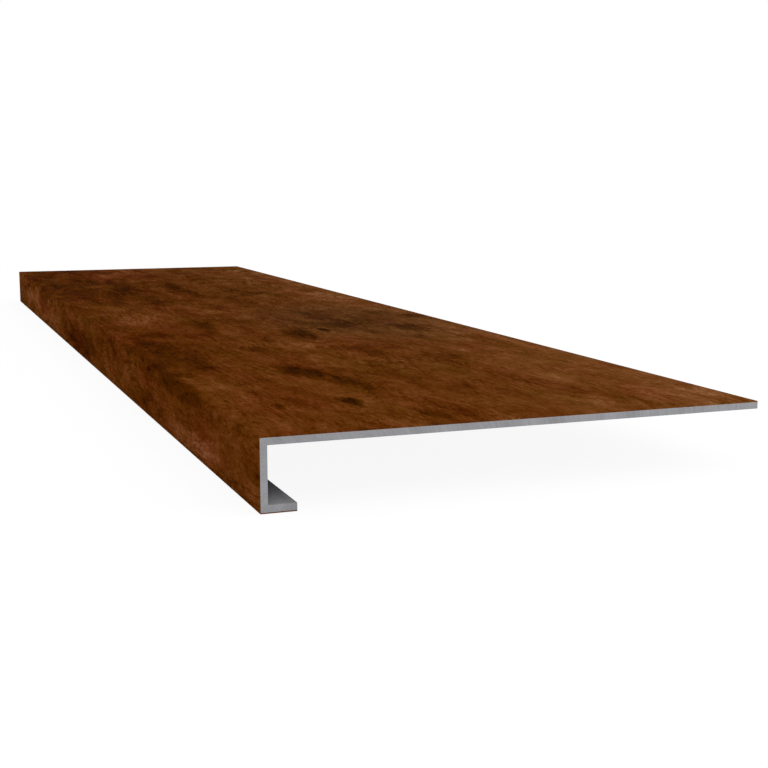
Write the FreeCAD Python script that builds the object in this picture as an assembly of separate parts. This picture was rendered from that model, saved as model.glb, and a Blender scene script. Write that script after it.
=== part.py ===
import FreeCAD, Part
import os

# Overlay stair tread: one rigid board that covers a worn step. It is grooved on
# the back and folded twice at the front, so that the same sheet makes the walking
# board, a square nose that hangs in front of the old step, and a short return
# that hooks back under the old nosing. The ends and the rear edge are plain cuts.
#
# Millimetres, +Z up. The origin is in the middle of the footprint, on the floor.
# +X runs along the step, -Y is the nose's side and +Y the rear edge's side.

# Driving dimensions
TREAD_LENGTH = 1200.0     # from cut end to cut end
TREAD_DEPTH = 300.0       # from the nose's front to the rear edge
NOSE_HEIGHT = 40.0        # from the return's underside to the walking face
BOARD_THICKNESS = 4.5     # of the sheet that all three legs are folded from
RETURN_DEPTH = 20.0       # from the nose's front to the return's cut edge
FOLD_RADIUS = 0.8         # outside of each fold, where the face bends round

# Where the outline turns
FRONT_Y = -TREAD_DEPTH / 2
REAR_Y = TREAD_DEPTH / 2
BACK_OF_NOSE_Y = FRONT_Y + BOARD_THICKNESS
RETURN_EDGE_Y = FRONT_Y + RETURN_DEPTH
UNDERSIDE_Z = NOSE_HEIGHT - BOARD_THICKNESS


def folded_section():
    """The J-shaped cut end, as a face at the tread's -X end."""
    outline = [
        (FRONT_Y, 0.0),
        (RETURN_EDGE_Y, 0.0),
        (RETURN_EDGE_Y, BOARD_THICKNESS),
        (BACK_OF_NOSE_Y, BOARD_THICKNESS),
        (BACK_OF_NOSE_Y, UNDERSIDE_Z),
        (REAR_Y, UNDERSIDE_Z),
        (REAR_Y, NOSE_HEIGHT),
        (FRONT_Y, NOSE_HEIGHT),
    ]
    corners = [FreeCAD.Vector(-TREAD_LENGTH / 2, y, z) for y, z in outline]
    return Part.Face(Part.makePolygon(corners + corners[:1]))


def is_outside_fold(edge):
    """True for the two long edges at the nose's front, where the face bends round."""
    at_front = all(abs(vertex.Y - FRONT_Y) < 1e-6 for vertex in edge.Vertexes)
    return at_front and abs(edge.Length - TREAD_LENGTH) < 1e-6


def stair_tread():
    """The folded board: its section drawn out along the step, with both folds rounded."""
    board = folded_section().extrude(FreeCAD.Vector(TREAD_LENGTH, 0, 0))
    folds = [edge for edge in board.Edges if is_outside_fold(edge)]
    return board.makeFillet(FOLD_RADIUS, folds)


os.makedirs("parts", exist_ok=True)
stair_tread().exportStep("parts/stair_tread.step")
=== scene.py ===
import math

import bpy
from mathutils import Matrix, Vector


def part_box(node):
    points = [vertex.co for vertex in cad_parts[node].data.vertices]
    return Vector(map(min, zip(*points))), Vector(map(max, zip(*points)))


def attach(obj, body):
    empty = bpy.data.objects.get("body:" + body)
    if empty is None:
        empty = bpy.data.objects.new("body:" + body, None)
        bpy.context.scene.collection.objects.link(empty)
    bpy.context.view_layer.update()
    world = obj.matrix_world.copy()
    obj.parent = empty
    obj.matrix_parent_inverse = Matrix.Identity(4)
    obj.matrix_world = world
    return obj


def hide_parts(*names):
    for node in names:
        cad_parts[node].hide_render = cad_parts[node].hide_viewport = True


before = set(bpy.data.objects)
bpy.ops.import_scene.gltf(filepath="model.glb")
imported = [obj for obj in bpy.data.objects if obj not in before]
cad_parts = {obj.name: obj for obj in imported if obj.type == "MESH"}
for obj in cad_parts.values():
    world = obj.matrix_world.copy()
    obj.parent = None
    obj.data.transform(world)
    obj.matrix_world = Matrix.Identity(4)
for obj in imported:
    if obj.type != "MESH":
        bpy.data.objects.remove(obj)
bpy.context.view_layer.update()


# The core of the tread is one sheet of stone-plastic composite: chalk-filled PVC,
# pressed flat and grey all through. A saw grooves its back along two lines, a press
# folds it there into board, nose and return, and both ends are bare saw cuts.

BOARD_THICKNESS = 0.0045     # the whole sheet, film included
RETURN_DEPTH = 0.020         # from the nose's front to the return's cut edge
FOLD_RADIUS = 0.0008         # outside of each fold
FOLD_FACETS = 4
FOLD_MARGIN = 0.001          # cells this narrow beside each fold keep the flats flat in the shading
FILM_THICKNESS = 0.0006      # printed film and wear layer over the core
LEG_CELLS = (8, 2, 1)        # across the board, the nose and the return
CELLS_ALONG = 16

GREY_DARK, GREY_LIGHT = "#78787B", "#949497"
CLOUD = 0.016                # patches where the chalk mixed in a little unevenly
SPECKLE = 0.0006             # mineral grains; real ones are finer, and these just show close up
DRAG_LINE = (80.0, 0.8)      # mm along and across: lines left by the press rolls and the saw
DRAG_DEPTH = 0.00003
GLUE_LINE = 0.00015          # width of the glue that shows in each closed mitre
GLUE_COLOUR, GLUE_SHOW = "#4A4A4A", 0.2    # so thin a line lends the cut little of its colour
USUAL_NOISE = (0.3, 0.7)     # nearly all values of a noise lie between these
SAWN_ROUGHNESS = (0.80, 0.92)
CORE_GLOSS = 0.1
CREASE = math.radians(40)    # the shading breaks at edges sharper than this
WELD = 1e-6                  # nearer points are one, as where the inside of a fold is a sharp corner

tread_low, tread_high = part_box("stair_tread")
LENGTH = tread_high[0] - tread_low[0]
FRONT, REAR, HEIGHT = tread_low[1], tread_high[1], tread_high[2]


def srgb(code):
    """A hex colour as it is seen, turned into the linear values that light adds up in."""
    parts = [int(code[i:i + 2], 16) / 255 for i in (1, 3, 5)]
    linear = [p / 12.92 if p <= 0.04045 else ((p + 0.055) / 1.055) ** 2.4 for p in parts]
    return (*linear, 1.0)


def node(tree, kind, inputs=None, **settings):
    """Adds a node: its settings by name, and each input as a value, a socket or the node that feeds it."""
    made = tree.nodes.new(kind)
    for name, value in settings.items():
        setattr(made, name, value)
    for key, value in (inputs or {}).items():
        socket = made.inputs[key] if isinstance(key, int) else next(
            s for s in made.inputs if s.name == key and s.enabled)
        if isinstance(value, bpy.types.Node):
            value = next(s for s in value.outputs if s.enabled)
        if isinstance(value, bpy.types.NodeSocket):
            tree.links.new(value, socket)
        else:
            socket.default_value = value
    return made


def leg(start, end, cells):
    """Places along one flat of the section: start, then even steps that keep the margin at both ends."""
    margin = (end - start).normalized() * FOLD_MARGIN
    return [start] + [(start + margin).lerp(end - margin, i / cells) for i in range(cells + 1)]


def bend(centre, radius, first_angle):
    """Even steps round a quarter turn that begins at first_angle, without its last place."""
    angles = [math.radians(first_angle + 90 * i / FOLD_FACETS) for i in range(FOLD_FACETS)]
    return [centre + radius * Vector((math.cos(a), math.sin(a))) for a in angles]


def section_at(depth):
    """The folded sheet's line at this depth under its face, as (y, z) from rear edge to return."""
    turn = max(FOLD_RADIUS, depth)
    radius = turn - depth
    upper, lower = Vector((FRONT + turn, HEIGHT - turn)), Vector((FRONT + turn, turn))
    end = Vector((FRONT + RETURN_DEPTH, depth))
    board = leg(Vector((REAR, HEIGHT - depth)), upper + Vector((0, radius)), LEG_CELLS[0])
    nose = leg(upper - Vector((radius, 0)), lower - Vector((radius, 0)), LEG_CELLS[1])
    hook = leg(lower - Vector((0, radius)), end, LEG_CELLS[2])
    return board + bend(upper, radius, 90) + nose + bend(lower, radius, 180) + hook + [end]


def section_mesh(name, face_depth, back_depth):
    """The cut end as pairs of points, face then back, with each pair's place on the flat sheet."""
    flat = section_at(0.0)
    run = [0.0]
    for here, after in zip(flat, flat[1:]):
        run.append(run[-1] + (after - here).length)
    pairs = zip(section_at(face_depth), section_at(back_depth))
    mesh = bpy.data.meshes.new(name)
    mesh.from_pydata([(0.0, *place) for pair in pairs for place in pair], [], [])
    across = mesh.attributes.new("across", "FLOAT", "POINT")
    across.data.foreach_set("value", [place for place in run for _ in ("face", "back")])
    return mesh


def fold_tree():
    """Geometry nodes that fold a flat sheet of even cells round the section it is given."""
    tree = bpy.data.node_groups.new("fold_sheet", "GeometryNodeTree")
    for name, kind in (("Section", "Geometry"), ("Length", "Float"), ("Cells Along", "Int"),
                       ("Cells Across", "Int"), ("Finish", "Material")):
        tree.interface.new_socket(name, in_out="INPUT", socket_type="NodeSocket" + kind)
    tree.interface.new_socket("Sheet", in_out="OUTPUT", socket_type="NodeSocketGeometry")
    given = node(tree, "NodeGroupInput").outputs
    own_place = node(tree, "GeometryNodeInputPosition")

    along = node(tree, "ShaderNodeMath", {0: given["Cells Along"], 1: 1.0})
    across = node(tree, "ShaderNodeMath", {0: given["Cells Across"], 1: 1.0})
    size = node(tree, "ShaderNodeCombineXYZ", {"X": given["Length"], "Y": given["Cells Across"], "Z": 1.0})
    flat = node(tree, "GeometryNodeMeshCube", {
        "Size": size, "Vertices X": along, "Vertices Y": across, "Vertices Z": 2})
    here = node(tree, "ShaderNodeSeparateXYZ", {0: own_place}).outputs

    # The flat sheet is one unit thick and one unit wide for each cell across, so a vertex's
    # place says which pair of the section's points it belongs to, and on which side.
    half = node(tree, "ShaderNodeMath", {0: given["Cells Across"], 1: 0.5}, operation="MULTIPLY")
    station = node(tree, "ShaderNodeMath", {0: half, 1: here["Y"]}, operation="SUBTRACT")
    pair = node(tree, "ShaderNodeMath", {0: station, 1: 2.0}, operation="MULTIPLY")
    face_index = node(tree, "ShaderNodeMath", {0: pair}, operation="ROUND")
    back_index = node(tree, "ShaderNodeMath", {0: face_index, 1: 1.0})
    face_place = node(tree, "GeometryNodeSampleIndex", {
        "Geometry": given["Section"], "Value": own_place, "Index": face_index}, data_type="FLOAT_VECTOR")
    back_place = node(tree, "GeometryNodeSampleIndex", {
        "Geometry": given["Section"], "Value": own_place, "Index": back_index}, data_type="FLOAT_VECTOR")
    level = node(tree, "ShaderNodeMath", {0: here["Z"], 1: 0.5})
    folded = node(tree, "ShaderNodeMix", {
        "Factor": level, "A": back_place, "B": face_place}, data_type="VECTOR")
    drawn_out = node(tree, "ShaderNodeSeparateXYZ", {0: folded}).outputs
    place = node(tree, "ShaderNodeCombineXYZ", {"X": here["X"], "Y": drawn_out["Y"], "Z": drawn_out["Z"]})

    run = node(tree, "GeometryNodeSampleIndex", {
        "Geometry": given["Section"], "Index": face_index,
        "Value": node(tree, "GeometryNodeInputNamedAttribute", {"Name": "across"}, data_type="FLOAT"),
    }, data_type="FLOAT")
    sheet_place = node(tree, "ShaderNodeCombineXYZ", {"X": here["X"], "Y": run})
    marked = node(tree, "GeometryNodeStoreNamedAttribute", {
        "Geometry": flat, "Name": "sheet_place", "Value": sheet_place},
        data_type="FLOAT_VECTOR", domain="POINT")
    bent = node(tree, "GeometryNodeSetPosition", {"Geometry": marked, "Position": place})
    joined = node(tree, "GeometryNodeMergeByDistance", {"Geometry": bent, "Distance": WELD})
    smooth = node(tree, "GeometryNodeSetShadeSmooth", {
        "Geometry": joined, "Shade Smooth": True}, domain="FACE")
    angle = node(tree, "GeometryNodeInputMeshEdgeAngle").outputs["Unsigned Angle"]
    sharp = node(tree, "ShaderNodeMath", {0: angle, 1: CREASE}, operation="GREATER_THAN")
    creased = node(tree, "GeometryNodeSetShadeSmooth", {
        "Geometry": smooth, "Selection": sharp, "Shade Smooth": False}, domain="EDGE")
    real = node(tree, "GeometryNodeRealizeInstances", {"Geometry": creased})
    finished = node(tree, "GeometryNodeSetMaterial", {"Geometry": real, "Material": given["Finish"]})
    node(tree, "NodeGroupOutput", {"Sheet": finished})
    return tree


fold_sheet = fold_tree()


def folded_sheet(name, section, finish):
    """A plain mesh object of the sheet folded round its section."""
    piece = bpy.data.objects.new(name, section)
    bpy.context.scene.collection.objects.link(piece)
    fold = piece.modifiers.new("fold", "NODES")
    fold.node_group = fold_sheet
    values = {"Length": LENGTH, "Cells Along": CELLS_ALONG,
              "Cells Across": len(section.vertices) // 2 - 1, "Finish": finish}
    for socket in fold_sheet.interface.items_tree:
        if socket.in_out == "INPUT" and socket.name in values:
            fold[socket.identifier] = values[socket.name]
    bpy.context.view_layer.update()
    graph = bpy.context.evaluated_depsgraph_get()
    mesh = bpy.data.meshes.new_from_object(piece.evaluated_get(graph))
    piece.modifiers.clear()
    piece.data = mesh
    mesh.name = name
    return piece


def new_finish(name):
    """An empty material of this name, with its node tree and its shader."""
    finish = bpy.data.materials.new(name)
    finish.use_nodes = True
    return finish, finish.node_tree, finish.node_tree.nodes["Principled BSDF"]


def sheet_noise(tree, place, length, width, detail=2.0, roughness=0.5):
    """Noise on the flat sheet, with patches about this long along the tread and this wide, in mm."""
    scaled = node(tree, "ShaderNodeVectorMath", {
        0: place, 1: (1000 / length, 1000 / width, 1.0)}, operation="MULTIPLY")
    return node(tree, "ShaderNodeTexNoise", {
        "Vector": scaled, "Scale": 1.0, "Detail": detail, "Roughness": roughness})


def glue_in_mitres(tree, place):
    """One on the two slanting lines where the grooves close at the folds, and nought elsewhere."""
    spot = node(tree, "ShaderNodeSeparateXYZ", {0: place}).outputs
    off_middle = node(tree, "ShaderNodeMath", {0: spot["Z"], 1: HEIGHT / 2}, operation="SUBTRACT")
    off_middle = node(tree, "ShaderNodeMath", {0: off_middle}, operation="ABSOLUTE")
    in_from_face = node(tree, "ShaderNodeMath", {0: HEIGHT / 2, 1: off_middle}, operation="SUBTRACT")
    in_from_front = node(tree, "ShaderNodeMath", {0: spot["Y"], 1: FRONT}, operation="SUBTRACT")
    return node(tree, "ShaderNodeMath", {
        0: in_from_front, 1: in_from_face, 2: GLUE_LINE / math.sqrt(2)}, operation="COMPARE")


def stone_plastic():
    """Stone-plastic composite, pressed flat and sawn. It is dull and mid grey all through, with a
    fine mineral speckle, faint drag lines that catch the light, and a dark hairline in each mitre."""
    finish, tree, shader = new_finish("stone_plastic_sawn")
    place = node(tree, "ShaderNodeTexCoord").outputs["Object"]
    sheet = node(tree, "ShaderNodeAttribute", attribute_name="sheet_place").outputs["Vector"]
    cloud = node(tree, "ShaderNodeTexNoise", {"Vector": place, "Scale": 1 / CLOUD, "Detail": 3.0})
    speckle = node(tree, "ShaderNodeTexNoise", {"Vector": place, "Scale": 1 / SPECKLE, "Detail": 2.0})
    drag = sheet_noise(tree, sheet, *DRAG_LINE)
    both = node(tree, "ShaderNodeMath", {0: cloud, 1: speckle})
    all_three = node(tree, "ShaderNodeMath", {0: both, 1: drag})
    # Each of the three is about a half, so they add up to between one and two.
    tone = node(tree, "ShaderNodeMapRange", {"Value": all_three, "From Min": 1.0, "From Max": 2.0})
    tint = node(tree, "ShaderNodeMix", {
        "Factor": tone, "A": srgb(GREY_DARK), "B": srgb(GREY_LIGHT)}, data_type="RGBA")
    glued = node(tree, "ShaderNodeMath", {
        0: glue_in_mitres(tree, place), 1: GLUE_SHOW}, operation="MULTIPLY")
    seamed = node(tree, "ShaderNodeMix", {
        "Factor": glued, "A": tint, "B": srgb(GLUE_COLOUR)}, data_type="RGBA")
    rough = node(tree, "ShaderNodeMapRange", {
        "Value": speckle, "From Min": USUAL_NOISE[0], "From Max": USUAL_NOISE[1],
        "To Min": SAWN_ROUGHNESS[0], "To Max": SAWN_ROUGHNESS[1]})
    relief = node(tree, "ShaderNodeBump", {"Height": drag, "Distance": DRAG_DEPTH, "Strength": 1.0})
    tree.links.new(next(s for s in seamed.outputs if s.enabled), shader.inputs["Base Color"])
    tree.links.new(rough.outputs[0], shader.inputs["Roughness"])
    tree.links.new(relief.outputs[0], shader.inputs["Normal"])
    shader.inputs["Specular IOR Level"].default_value = CORE_GLOSS
    return finish


core = folded_sheet("core_board", section_mesh("core_section", FILM_THICKNESS, BOARD_THICKNESS),
                    stone_plastic())
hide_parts("stair_tread")
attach(core, "root")


# The face of the tread is a printed walnut film under a clear matt wear layer. It is
# laminated on the flat sheet before the folds are made, so its grain runs unbroken
# from the walking board over the nose and under the return.

WALNUT = ((0.0, "#260E00"), (0.18, "#3A1801"), (0.36, "#482103"), (0.54, "#582D0C"),
          (0.72, "#67391A"), (0.88, "#76472A"), (1.0, "#87583C"))
WALKED_TONE, REAR_TONE_AND_PAINTED_LIGHT = 0.53, 0.69    # the print's middle tone, and the paler tone at the rear edge, which is partly the print's own tone and partly painted light
REAR_BAND = 0.115                      # how far in from the rear edge it is paler
NEAR_LIFT_AND_PAINTED_LIGHT, NEAR_PART = 0.05, (0.2, 0.6)    # it is a little paler towards the near end as well, partly the print's own tone and partly painted light

# The grain wanders in long waves and in small curls: length and width in mm of each, and how
# far it shifts the grain along the tread and across it, also in mm.
WANDER = (
    (200, 45, 30, 16),
    (22, 12, 3, 4.5),
)

# Soft light and dark in the print: length and width in mm, detail, roughness and strength.
MOTTLES = (
    (300, 26, 2.0, 0.5, 0.36),
    (70, 30, 2.0, 0.5, 0.60),
    (30, 12, 3.0, 0.65, 0.68),
    (8, 2.7, 3.0, 0.75, 0.84),
)
GRAIN_STREAK, GRAIN_STRENGTH = (14, 2.8, 3.0, 0.72), 0.74
RING_FIELD, RING_WAVES = (420, 60, 2.0, 0.4), 130.0    # the rings are height lines of a soft noise
PORE = (5.0, 0.9, 1.0)                 # a little coarser than real pores, so that they show

# How rings and pores mark the face: where their pattern starts to do so and where it does so
# fully, the change of tone, and how deep they are pressed in, as a share of the embossing.
RING_MARK = 0.3, 1.0, -0.13, 0.4
PORE_MARK = 0.58, 0.70, -0.45, 1.0
EMBOSS_DEPTH = 0.00006
WEAR_ROUGHNESS = (0.88, 0.96)          # of the flat face, and of the bottom of a pore in a ring
FACE_GLOSS = 0.001                     # so matt that it shows no sheen even when seen along it

# The grain is faint in some parts and strong in others, by a noise of this length and width in
# mm: two values of the noise, and the grain's strength at each. The whole print is also calmer
# at the near end than at the far one: two places along the tread in metres, and its strength.
BUSY, BUSY_NOISE, BUSY_STRENGTH = (110, 36), (0.38, 0.62), (0.25, 1.0)
CALM_ALONG, CALM_STRENGTH = (-0.5, 0.5), (1.2, 0.85)

# Smoky clouds and short dark flecks: a noise's length and width in mm, detail and roughness,
# where it starts to darken the print and where it does so fully, and the change of tone.
SMOKE = (70, 22, 4.0, 0.7), 0.58, 0.72, -0.22
FLECKS = (26, 6, 3.0, 0.7), 0.60, 0.70, -0.28

WARMTH = (120, 40, 3.0, 0.7)           # redder parts and browner ones
WARMTH_SPREAD, WARMTH_MIDDLE = 0.038, 0.4995
NOSE_PLACE = 0.33                      # the nose, across the flat sheet from the rear edge
REAR_BROWN = 0.005                     # the rear edge is browner than the nose
FRONT_RICHNESS = 0.016                 # and the nose has the deeper colour

# Where the print is darker or lighter: place along the tread and across the flat sheet from
# the rear edge, half length and half width, all in mm, turn in degrees, and the change of tone.
PATCHES = (
    (-330, 242, 270, 58, 0, -0.15),
    (-590, 240, 30, 18, 0, -0.20),
    (-420, 288, 110, 15, 0, -0.12),
    (-300, 155, 50, 11, 10, -0.26),
    (-210, 160, 60, 15, 0, -0.28),
    (-250, 218, 50, 18, 20, -0.16),
    (-190, 97, 50, 16, 0, -0.12),
    (60, 95, 40, 12, 0, -0.12),
    (98, 62, 65, 55, 0, -0.17),
    (95, 12, 14, 14, 0, -0.26),
    (182, 50, 34, 14, 0, -0.26),
    (142, 120, 24, 36, 0, -0.14),
    (192, 150, 36, 14, 6, -0.28),
    (120, 214, 60, 9, 5, -0.16),
    (275, 214, 22, 10, 0, -0.18),
    (165, 266, 20, 14, 0, -0.26),
    (290, 282, 95, 24, 0, -0.26),
    (312, 136, 40, 10, 0, -0.14),
    (397, 213, 34, 14, -8, -0.40),
    (460, 196, 30, 10, -20, -0.20),
    (-40, 324, 150, 12, 0, -0.20),
    (400, 303, 95, 9, 0, -0.22),
    (-555, 122, 50, 24, 0, 0.20),
    (-510, 168, 75, 18, 0, 0.18),
    (-455, 216, 62, 14, 8, 0.24),
    (-110, 30, 60, 20, 8, 0.18),
    (-270, 120, 50, 12, 10, 0.12),
    (-50, 238, 45, 36, 0, 0.14),
    (45, 260, 50, 20, 15, 0.22),
    (-5, 160, 20, 34, -20, 0.14),
    (262, 178, 36, 18, 0, 0.24),
    (345, 184, 28, 10, 0, 0.12),
    (545, 10, 30, 12, 0, 0.12),
    (440, 331, 80, 7, 0, 0.22),
    (-350, 322, 200, 12, 0, 0.16),
)

# Where the print is greyed by smoke, or redder: outline as above, then the changes of hue and
# of depth of colour.
TINTS = (
    (115, 75, 150, 85, 0, 0.005, -0.045),
    (-510, 190, 120, 85, 0, -0.006, 0.0),
)

# Knots: place, half length and half width, in mm. The rings bend round each.
KNOTS = (
    (517, 221, 13, 5.0),
    (176, 126, 12, 3.5),
)
KNOT_TONE = -0.5
KNOT_REACH, KNOT_BEND = 5.0, 0.12      # the bend starts at this many times the knot's size

# Outlines are frayed by a noise, this deep as a share of the patch's size. A patch or a knot
# starts to show at the first share of its size, and shows fully from the second one inwards.
FRAYED, FRAY_DEPTH = (24, 6, 4.0, 0.6), 1.6
PATCH_EDGE, KNOT_EDGE = (1.35, 0.45), (1.6, 0.5)


def wandering(tree, place):
    """The flat sheet's place, shifted to and fro as the grain of a real plank wanders."""
    shifted = place
    for length, width, along, across in WANDER:
        soft = sheet_noise(tree, place, length, width)
        shifted = node(tree, "ShaderNodeVectorMath", {
            0: soft.outputs["Color"], 1: (along / 1000, across / 1000, 0.0), 2: shifted},
            operation="MULTIPLY_ADD")
    return shifted


def changed_where(tree, value, pattern, start, full, change):
    """A tone, hue or height, changed by this much where the pattern goes from start to full."""
    amount = node(tree, "ShaderNodeMapRange", {
        "Value": pattern, "From Min": start, "From Max": full, "To Max": change},
        interpolation_type="SMOOTHSTEP")
    return node(tree, "ShaderNodeMath", {0: value, 1: amount})


def off_patch(tree, sheet, x, y, half_length, half_width, turn=0.0):
    """How far a place is from the middle of a patch: 1 on the patch's outline."""
    placed = node(tree, "ShaderNodeMapping", {
        "Vector": sheet, "Location": (x / 1000, y / 1000, 0.0), "Rotation": (0.0, 0.0, math.radians(turn)),
        "Scale": (half_length / 1000, half_width / 1000, 1.0)}, vector_type="TEXTURE")
    return node(tree, "ShaderNodeVectorMath", {0: placed}, operation="LENGTH")


def printed_walnut():
    """Printed walnut film under a clear matt wear layer, embossed by the press plate. It is dark
    red-brown, with streaks and pores along the tread, smoky patches and knots, and almost no shine."""
    finish, tree, shader = new_finish("printed_walnut_film")
    sheet = node(tree, "ShaderNodeAttribute", attribute_name="sheet_place").outputs["Vector"]
    place = wandering(tree, sheet)
    spot = node(tree, "ShaderNodeSeparateXYZ", {0: sheet}).outputs

    # A noise is about a half, so half of its strength comes off and the middle tone holds.
    mottle = -0.5 * sum(row[-1] for row in MOTTLES)
    for *size, strength in MOTTLES:
        mottle = node(tree, "ShaderNodeMath", {
            0: sheet_noise(tree, place, *size), 1: strength, 2: mottle}, operation="MULTIPLY_ADD")

    grain = node(tree, "ShaderNodeMath", {
        0: sheet_noise(tree, place, *GRAIN_STREAK), 1: GRAIN_STRENGTH, 2: -0.5 * GRAIN_STRENGTH,
    }, operation="MULTIPLY_ADD")
    field = sheet_noise(tree, place, *RING_FIELD)
    for outline in KNOTS:
        field = changed_where(tree, field, off_patch(tree, sheet, *outline), KNOT_REACH, 0.0, KNOT_BEND)
    rings = node(tree, "ShaderNodeMath", {0: field, 1: RING_WAVES}, operation="MULTIPLY")
    rings = node(tree, "ShaderNodeMath", {0: rings}, operation="SINE")
    marks = ((rings, *RING_MARK), (sheet_noise(tree, place, *PORE), *PORE_MARK))
    pressed = 0.0
    for pattern, start, full, change, depth in marks:
        grain = changed_where(tree, grain, pattern, start, full, change)
        pressed = changed_where(tree, pressed, pattern, start, full, depth)
    busy = node(tree, "ShaderNodeMapRange", {
        "Value": sheet_noise(tree, place, *BUSY), "From Min": BUSY_NOISE[0], "From Max": BUSY_NOISE[1],
        "To Min": BUSY_STRENGTH[0], "To Max": BUSY_STRENGTH[1]}, interpolation_type="SMOOTHSTEP")
    figure = node(tree, "ShaderNodeMath", {0: grain, 1: busy, 2: mottle}, operation="MULTIPLY_ADD")
    calm = node(tree, "ShaderNodeMapRange", {
        "Value": spot["X"], "From Min": CALM_ALONG[0], "From Max": CALM_ALONG[1],
        "To Min": CALM_STRENGTH[0], "To Max": CALM_STRENGTH[1]}, interpolation_type="SMOOTHSTEP")
    tone = node(tree, "ShaderNodeMath", {0: figure, 1: calm, 2: WALKED_TONE}, operation="MULTIPLY_ADD")
    # The band along the rear edge is paler: partly the print's own tone, partly painted light.
    tone = changed_where(tree, tone, spot["Y"], REAR_BAND, 0.0, REAR_TONE_AND_PAINTED_LIGHT - WALKED_TONE)
    # Paler towards the near end: partly the print's own tone, partly painted light.
    tone = changed_where(tree, tone, spot["X"], *NEAR_PART, NEAR_LIFT_AND_PAINTED_LIGHT)
    for size, start, full, change in (SMOKE, FLECKS):
        tone = changed_where(tree, tone, sheet_noise(tree, place, *size), start, full, change)

    ragged = node(tree, "ShaderNodeMath", {
        0: sheet_noise(tree, place, *FRAYED), 1: FRAY_DEPTH, 2: -0.5 * FRAY_DEPTH},
        operation="MULTIPLY_ADD")
    for *outline, change in PATCHES:
        away = node(tree, "ShaderNodeMath", {0: off_patch(tree, sheet, *outline), 1: ragged})
        tone = changed_where(tree, tone, away, *PATCH_EDGE, change)
    for outline in KNOTS:
        away = node(tree, "ShaderNodeMath", {0: off_patch(tree, sheet, *outline), 1: ragged})
        tone = changed_where(tree, tone, away, *KNOT_EDGE, KNOT_TONE)

    colour = node(tree, "ShaderNodeValToRGB", {0: tone})
    while len(colour.color_ramp.elements) < len(WALNUT):
        colour.color_ramp.elements.new(0.5)
    for element, (at, code) in zip(colour.color_ramp.elements, WALNUT):
        element.position = at
        element.color = srgb(code)
    hue = node(tree, "ShaderNodeMath", {
        0: sheet_noise(tree, place, *WARMTH), 1: WARMTH_SPREAD, 2: WARMTH_MIDDLE - WARMTH_SPREAD / 2},
        operation="MULTIPLY_ADD")
    hue = changed_where(tree, hue, spot["Y"], NOSE_PLACE, 0.0, REAR_BROWN)
    richness = changed_where(tree, 1.0, spot["Y"], 0.0, NOSE_PLACE, FRONT_RICHNESS)
    for *outline, browner, richer in TINTS:
        away = node(tree, "ShaderNodeMath", {0: off_patch(tree, sheet, *outline), 1: ragged})
        hue = changed_where(tree, hue, away, *PATCH_EDGE, browner)
        richness = changed_where(tree, richness, away, *PATCH_EDGE, richer)
    shade = node(tree, "ShaderNodeHueSaturation", {"Hue": hue, "Saturation": richness, "Color": colour})

    relief = node(tree, "ShaderNodeBump", {
        "Height": pressed, "Distance": EMBOSS_DEPTH, "Strength": 1.0}, invert=True)
    rough = node(tree, "ShaderNodeMapRange", {
        "Value": pressed, "From Max": RING_MARK[-1] + PORE_MARK[-1],
        "To Min": WEAR_ROUGHNESS[0], "To Max": WEAR_ROUGHNESS[1]})
    tree.links.new(shade.outputs[0], shader.inputs["Base Color"])
    tree.links.new(rough.outputs[0], shader.inputs["Roughness"])
    tree.links.new(relief.outputs[0], shader.inputs["Normal"])
    shader.inputs["Specular IOR Level"].default_value = FACE_GLOSS
    return finish


# Where each side of the film lies on its own map, as shares of the square: from and to, along it
# and then up it. The printed side gets nearly all of it, in one piece, and most room across the
# grain, where the print is finest.
PRINTED_SIDE = (0.004, 0.996, 0.996, 0.130)
GLUED_SIDE = (0.004, 0.996, 0.060, 0.120)
NEAR_CUT, FAR_CUT = (0.996, 0.510, 0.035, 0.050), (0.004, 0.490, 0.035, 0.050)
RETURN_CUT, REAR_CUT = (0.004, 0.996, 0.020, 0.026), (0.996, 0.004, 0.004, 0.010)


def lay_out(piece):
    """Gives the film the map that its texture is baked on, under the name that the export looks for."""
    mesh = piece.data
    places = [spot.vector.copy() for spot in mesh.attributes["sheet_place"].data]
    width = max(place.y for place in places)

    # The printed and the glued side run across the sheet, while the cuts at its two edges stay in
    # one place across it. The printed side faces away from a spot within the fold.
    inside = Vector((0.0, FRONT + RETURN_DEPTH / 2, HEIGHT / 2))
    edge_to_edge = [face for face in mesh.polygons if abs(face.normal.x) < 0.5
                    and len({round(places[v].y, 6) for v in face.vertices}) > 1]
    printed = {face.index for face in edge_to_edge
               if (face.center - inside).dot(face.normal) > 0}
    glued = {face.index for face in edge_to_edge} - printed
    outer = {v for index in printed for v in mesh.polygons[index].vertices}

    layer = mesh.uv_layers.new(name="OFBake")
    for face in mesh.polygons:
        at_end = abs(face.normal.x) > 0.5
        if at_end:
            side = NEAR_CUT if face.normal.x > 0 else FAR_CUT
        elif face.index in printed:
            side = PRINTED_SIDE
        elif face.index in glued:
            side = GLUED_SIDE
        else:
            side = REAR_CUT if places[face.vertices[0]].y < width / 2 else RETURN_CUT
        for corner, vertex in zip(face.loop_indices, face.vertices):
            along = places[vertex].x / LENGTH + 0.5
            across = places[vertex].y / width
            through = float(vertex in outer)
            first = across if at_end else along
            second = across if side in (PRINTED_SIDE, GLUED_SIDE) else through
            layer.uv[corner].vector = (side[0] + (side[1] - side[0]) * first,
                                       side[2] + (side[3] - side[2]) * second)


film = folded_sheet("printed_film", section_mesh("film_section", 0.0, FILM_THICKNESS), printed_walnut())
lay_out(film)
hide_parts("stair_tread")
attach(film, "root")


# The floor is a plain white sweep, wide enough to run out of the picture. It is painted
# matt; near the tread it keeps a soft shadow, and further off it fades to pure white.

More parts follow.
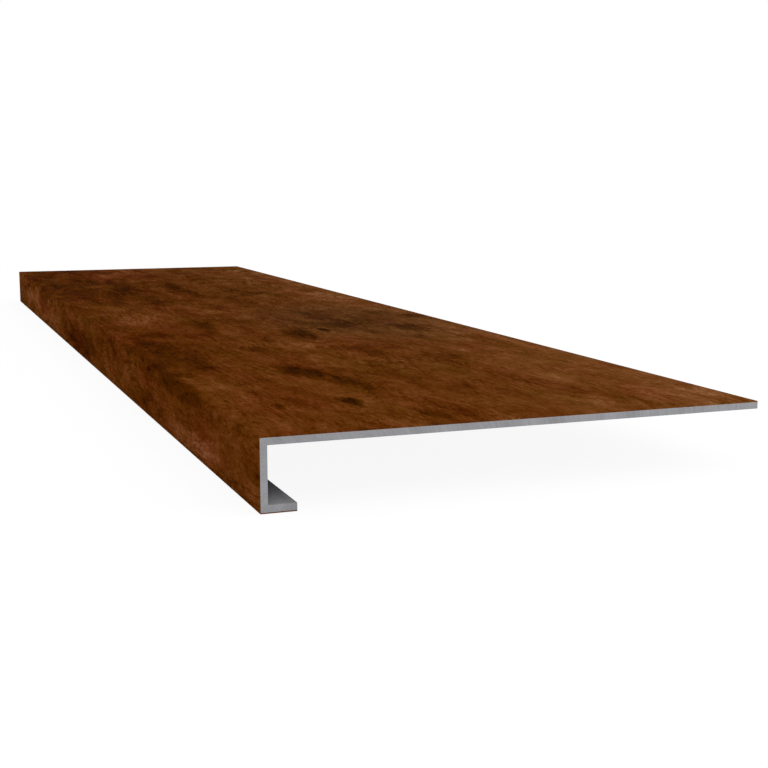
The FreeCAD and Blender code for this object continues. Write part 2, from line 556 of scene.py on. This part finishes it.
FLOOR_HALF = 30.0            # metres from the middle to each edge
FLOOR_DROP = 0.0002          # clear of the return's underside, so that the two faces don't flicker
SHADOW_REACH = (0.9, 2.6)    # from where the shadow starts to fade to where the floor is pure white
SHADOW_VEIL = 0.92           # how much of the shadow's depth the white takes away near the tread


def seen_directly(tree):
    """One for rays from the lens, and for what gloss and glass show of them; nought for lighting."""
    rays = node(tree, "ShaderNodeLightPath").outputs
    mirrored = node(tree, "ShaderNodeMath", {
        0: rays["Is Glossy Ray"], 1: rays["Is Transmission Ray"]}, operation="MAXIMUM")
    return node(tree, "ShaderNodeMath", {0: rays["Is Camera Ray"], 1: mirrored}, operation="MAXIMUM")


def floor_paint():
    """Matt white paint that fades to plain white away from the tread."""
    finish, tree, shader = new_finish("white_sweep_paint")
    shader.inputs["Base Color"].default_value = srgb("#FFFFFF")
    shader.inputs["Roughness"].default_value = 1.0
    shader.inputs["Specular IOR Level"].default_value = 0.0
    reach = node(tree, "ShaderNodeVectorMath", {
        0: node(tree, "ShaderNodeTexCoord").outputs["Object"]}, operation="LENGTH")
    veil = node(tree, "ShaderNodeMapRange", {
        "Value": reach, "From Min": SHADOW_REACH[0], "From Max": SHADOW_REACH[1],
        "To Min": SHADOW_VEIL, "To Max": 1.0}, interpolation_type="SMOOTHSTEP")
    amount = node(tree, "ShaderNodeMath", {0: veil, 1: seen_directly(tree)}, operation="MULTIPLY")
    white = node(tree, "ShaderNodeEmission", {"Color": srgb("#FFFFFF"), "Strength": 1.0})
    blend = node(tree, "ShaderNodeMixShader", {0: amount, 1: shader, 2: white})
    tree.links.new(blend.outputs[0], tree.nodes["Material Output"].inputs["Surface"])
    return finish


sweep_mesh = bpy.data.meshes.new("floor_sweep")
corners = [(x * FLOOR_HALF, y * FLOOR_HALF, -FLOOR_DROP) for x, y in ((-1, -1), (1, -1), (1, 1), (-1, 1))]
sweep_mesh.from_pydata(corners, [], [(0, 1, 2, 3)])
sweep_mesh.materials.append(floor_paint())
sweep = bpy.data.objects.new("floor_sweep", sweep_mesh)
bpy.context.scene.collection.objects.link(sweep)


# The light is a white studio room: even light from all round, and one large soft box
# that hangs over the near rear corner and makes that end of the tread a little lighter.

ROOM_LIGHT = 0.98
SOFT_BOX_PLACE = Vector((0.95, 0.50, 0.55))
SOFT_BOX_AIM = Vector((0.45, 0.05, HEIGHT))
SOFT_BOX_SIZE = 0.7
SOFT_BOX_POWER = 2.6

room = bpy.data.worlds.new("studio_room")
room.use_nodes = True
bpy.context.scene.world = room
room_tree = room.node_tree
lit = room_tree.nodes["Background"]
lit.inputs["Color"].default_value = srgb("#FFFFFF")
lit.inputs["Strength"].default_value = ROOM_LIGHT
shown = node(room_tree, "ShaderNodeBackground", {"Color": srgb("#FFFFFF"), "Strength": 1.0})
either = node(room_tree, "ShaderNodeMixShader", {0: seen_directly(room_tree), 1: lit, 2: shown})
room_tree.links.new(either.outputs[0], room_tree.nodes["World Output"].inputs["Surface"])

soft_box_light = bpy.data.lights.new("soft_box", "AREA")
soft_box_light.size = SOFT_BOX_SIZE
soft_box_light.energy = SOFT_BOX_POWER
soft_box = bpy.data.objects.new("soft_box", soft_box_light)
soft_box.location = SOFT_BOX_PLACE
soft_box.rotation_euler = (SOFT_BOX_AIM - SOFT_BOX_PLACE).to_track_quat("-Z", "Y").to_euler()
bpy.context.scene.collection.objects.link(soft_box)


# The camera stands low beyond the near end and a little in front of the nose, and looks
# along the tread. Its place, turn and lens come from the corners in the photo.

PICTURE_PIXELS = 768
LENS_PIXELS = 1320.0         # the lens's focal length, in picture pixels
SENSOR_WIDTH = 36.0          # mm
NEAREST, FURTHEST = 0.01, 100.0    # what the lens can see, in metres from it
CAMERA_PLACE = Vector((1.230, -0.322, 0.171))
TURN = math.radians(69.19)   # from looking along +Y towards -X
TILT = math.radians(9.09)    # below level

lens = bpy.data.cameras.new("photo_lens")
lens.sensor_width = SENSOR_WIDTH
lens.lens = SENSOR_WIDTH * LENS_PIXELS / PICTURE_PIXELS
lens.clip_start = NEAREST
lens.clip_end = FURTHEST
camera = bpy.data.objects.new("photo_camera", lens)
camera.location = CAMERA_PLACE
camera.rotation_euler = (math.pi / 2 - TILT, 0.0, TURN)
bpy.context.scene.collection.objects.link(camera)
bpy.context.scene.camera = camera
bpy.context.scene.view_settings.view_transform = "Standard"
